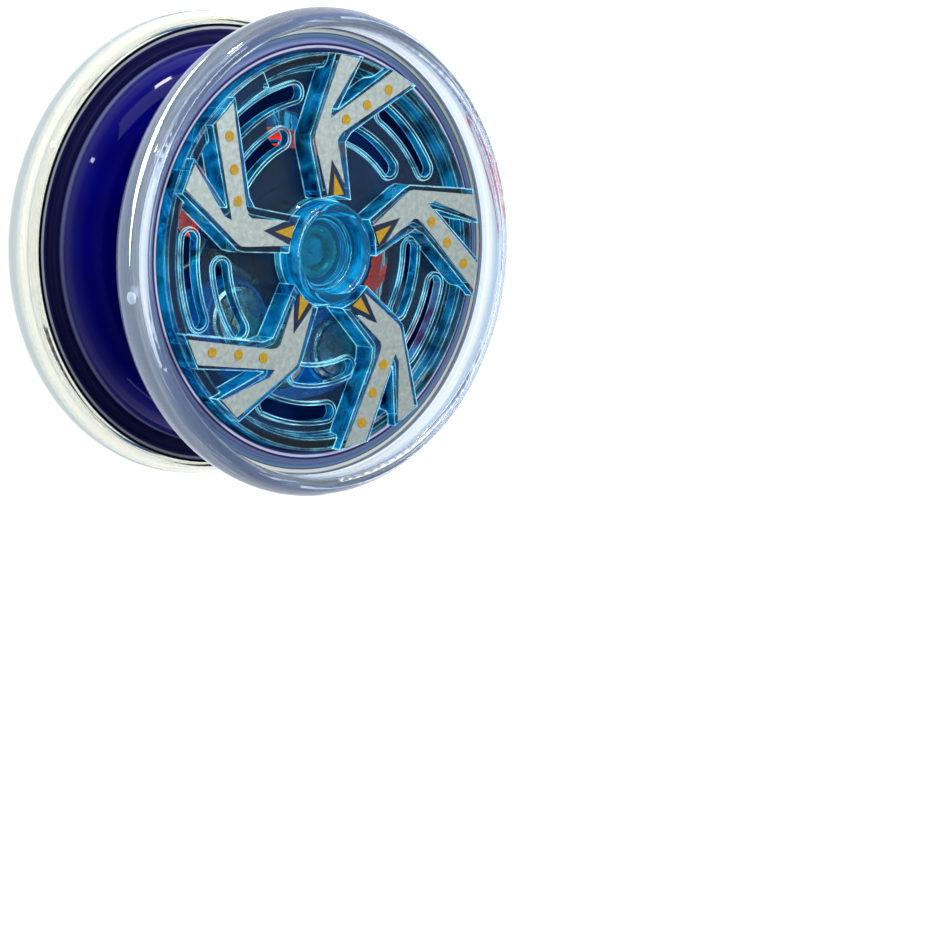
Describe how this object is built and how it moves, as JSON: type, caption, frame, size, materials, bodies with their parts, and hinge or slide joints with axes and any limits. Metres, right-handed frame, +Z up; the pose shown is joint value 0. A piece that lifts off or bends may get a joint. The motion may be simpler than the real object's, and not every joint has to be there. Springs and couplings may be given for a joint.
{
  "type": "yo-yo",
  "caption": "Light-up ball-bearing yo-yo: two clear-rimmed translucent blue halves on a screwed axle, with foil-claw side caps and a wound string with finger loop.",
  "frame": {"origin": "centre of the lower rim's resting face, on the spin axis", "axes": "+Z up along the spin axis, towards the visible side cap; +X towards the side where the string leaves the gap; +Y along the first claw"},
  "size_m": [0.0767, 0.058, 0.0275],
  "materials": {
    "clear_plastic": "clear, slightly lavender polycarbonate, polished",
    "navy_plastic": "dark blue translucent plastic, polished",
    "teal_plastic": "teal translucent plastic, polished",
    "silver_foil": "silver-grey metallic film sticker",
    "navy_ink": "navy print",
    "gold_ink": "gold print",
    "aqua_plastic": "clear light blue plastic, polished",
    "brass": "turned brass",
    "silicone": "white silicone",
    "steel": "turned steel",
    "tray_plastic": "translucent blue plastic",
    "cell_steel": "nickel-plated cell cans",
    "contact_metal": "spring strip",
    "lamp_clear": "clear epoxy lens",
    "bearing_chrome": "polished ball steel",
    "cage_metal": "pressed cage",
    "string": "twisted orange-red polyester yarn"
  },
  "bodies": {
    "bottom_half": {"clear_rim_bottom": "clear_plastic", "body_shell_bottom": "navy_plastic", "side_cap_bottom": "teal_plastic", "claw_foils_bottom": "silver_foil", "navy_print_bottom": "navy_ink", "gold_print_bottom": "gold_ink", "hub_knob_bottom": "aqua_plastic", "hub_nut_bottom": "brass", "response_pad_bottom": "silicone", "light_tray_bottom": "tray_plastic", "button_cells_bottom": "cell_steel", "contact_strips_bottom": "contact_metal", "led_lamp_bottom": "lamp_clear", "led_leads_bottom": "contact_metal", "switch_post_bottom": "brass", "switch_spring_bottom": "steel", "contact_wire_bottom": "contact_metal", "bearing_spacer_bottom": "steel", "axle": "steel", "bearing_inner_race": "steel"},
    "top_washer": {"bearing_spacer_top": "steel"},
    "top_half": {"clear_rim_top": "clear_plastic", "body_shell_top": "navy_plastic", "side_cap_top": "teal_plastic", "claw_foils_top": "silver_foil", "navy_print_top": "navy_ink", "gold_print_top": "gold_ink", "hub_knob_top": "aqua_plastic", "hub_nut_top": "brass", "response_pad_top": "silicone", "light_tray_top": "tray_plastic", "button_cells_top": "cell_steel", "contact_strips_top": "contact_metal", "led_lamp_top": "lamp_clear", "led_leads_top": "contact_metal", "switch_post_top": "brass", "switch_spring_top": "steel", "contact_wire_top": "contact_metal"},
    "ball_train": {"bearing_balls": "bearing_chrome", "bearing_cage": "cage_metal"},
    "string_side": {"bearing_outer_race": "steel", "bearing_shields": "steel", "string_winding": "string", "string_tail": "string", "loop_knot": "string"},
    "switch_weight_bottom": {"switch_weight_bottom": "brass"},
    "switch_weight_top": {"switch_weight_top": "brass"}
  },
  "joints": [
    {"name": "string_spin", "type": "hinge", "parent": "bottom_half", "child": "string_side", "pos_m": [0, 0, 0.01375], "axis": [0, 0, 1], "continuous": true},
    {"name": "ball_orbit", "type": "hinge", "parent": "bottom_half", "child": "ball_train", "pos_m": [0, 0, 0.01375], "axis": [0, 0, 1], "continuous": true},
    {"name": "top_lift", "type": "slide", "parent": "bottom_half", "child": "top_washer", "axis": [0, 0, 1], "range_m": [0, 0.0028]},
    {"name": "top_unscrew", "type": "hinge", "parent": "top_washer", "child": "top_half", "pos_m": [0, 0, 0.01375], "axis": [0, 0, 1], "range_deg": [0, 1440]},
    {"name": "light_switch_bottom", "type": "slide", "parent": "bottom_half", "child": "switch_weight_bottom", "axis": [0.0756, -0.9971, 0], "range_m": [0, 0.0012], "stiffness_N_per_m": 10, "deforming": ["switch_spring_bottom"]},
    {"name": "light_switch_top", "type": "slide", "parent": "top_half", "child": "switch_weight_top", "axis": [-0.8631, 0.5051, 0], "range_m": [0, 0.0012], "stiffness_N_per_m": 10, "deforming": ["switch_spring_top"]}
  ],
  "couplings": [
    {"joint": "ball_orbit", "follows": "string_spin", "ratio": 0.607},
    {"joint": "top_unscrew", "follows": "top_lift", "rad_per_m": 8976}
  ]
}
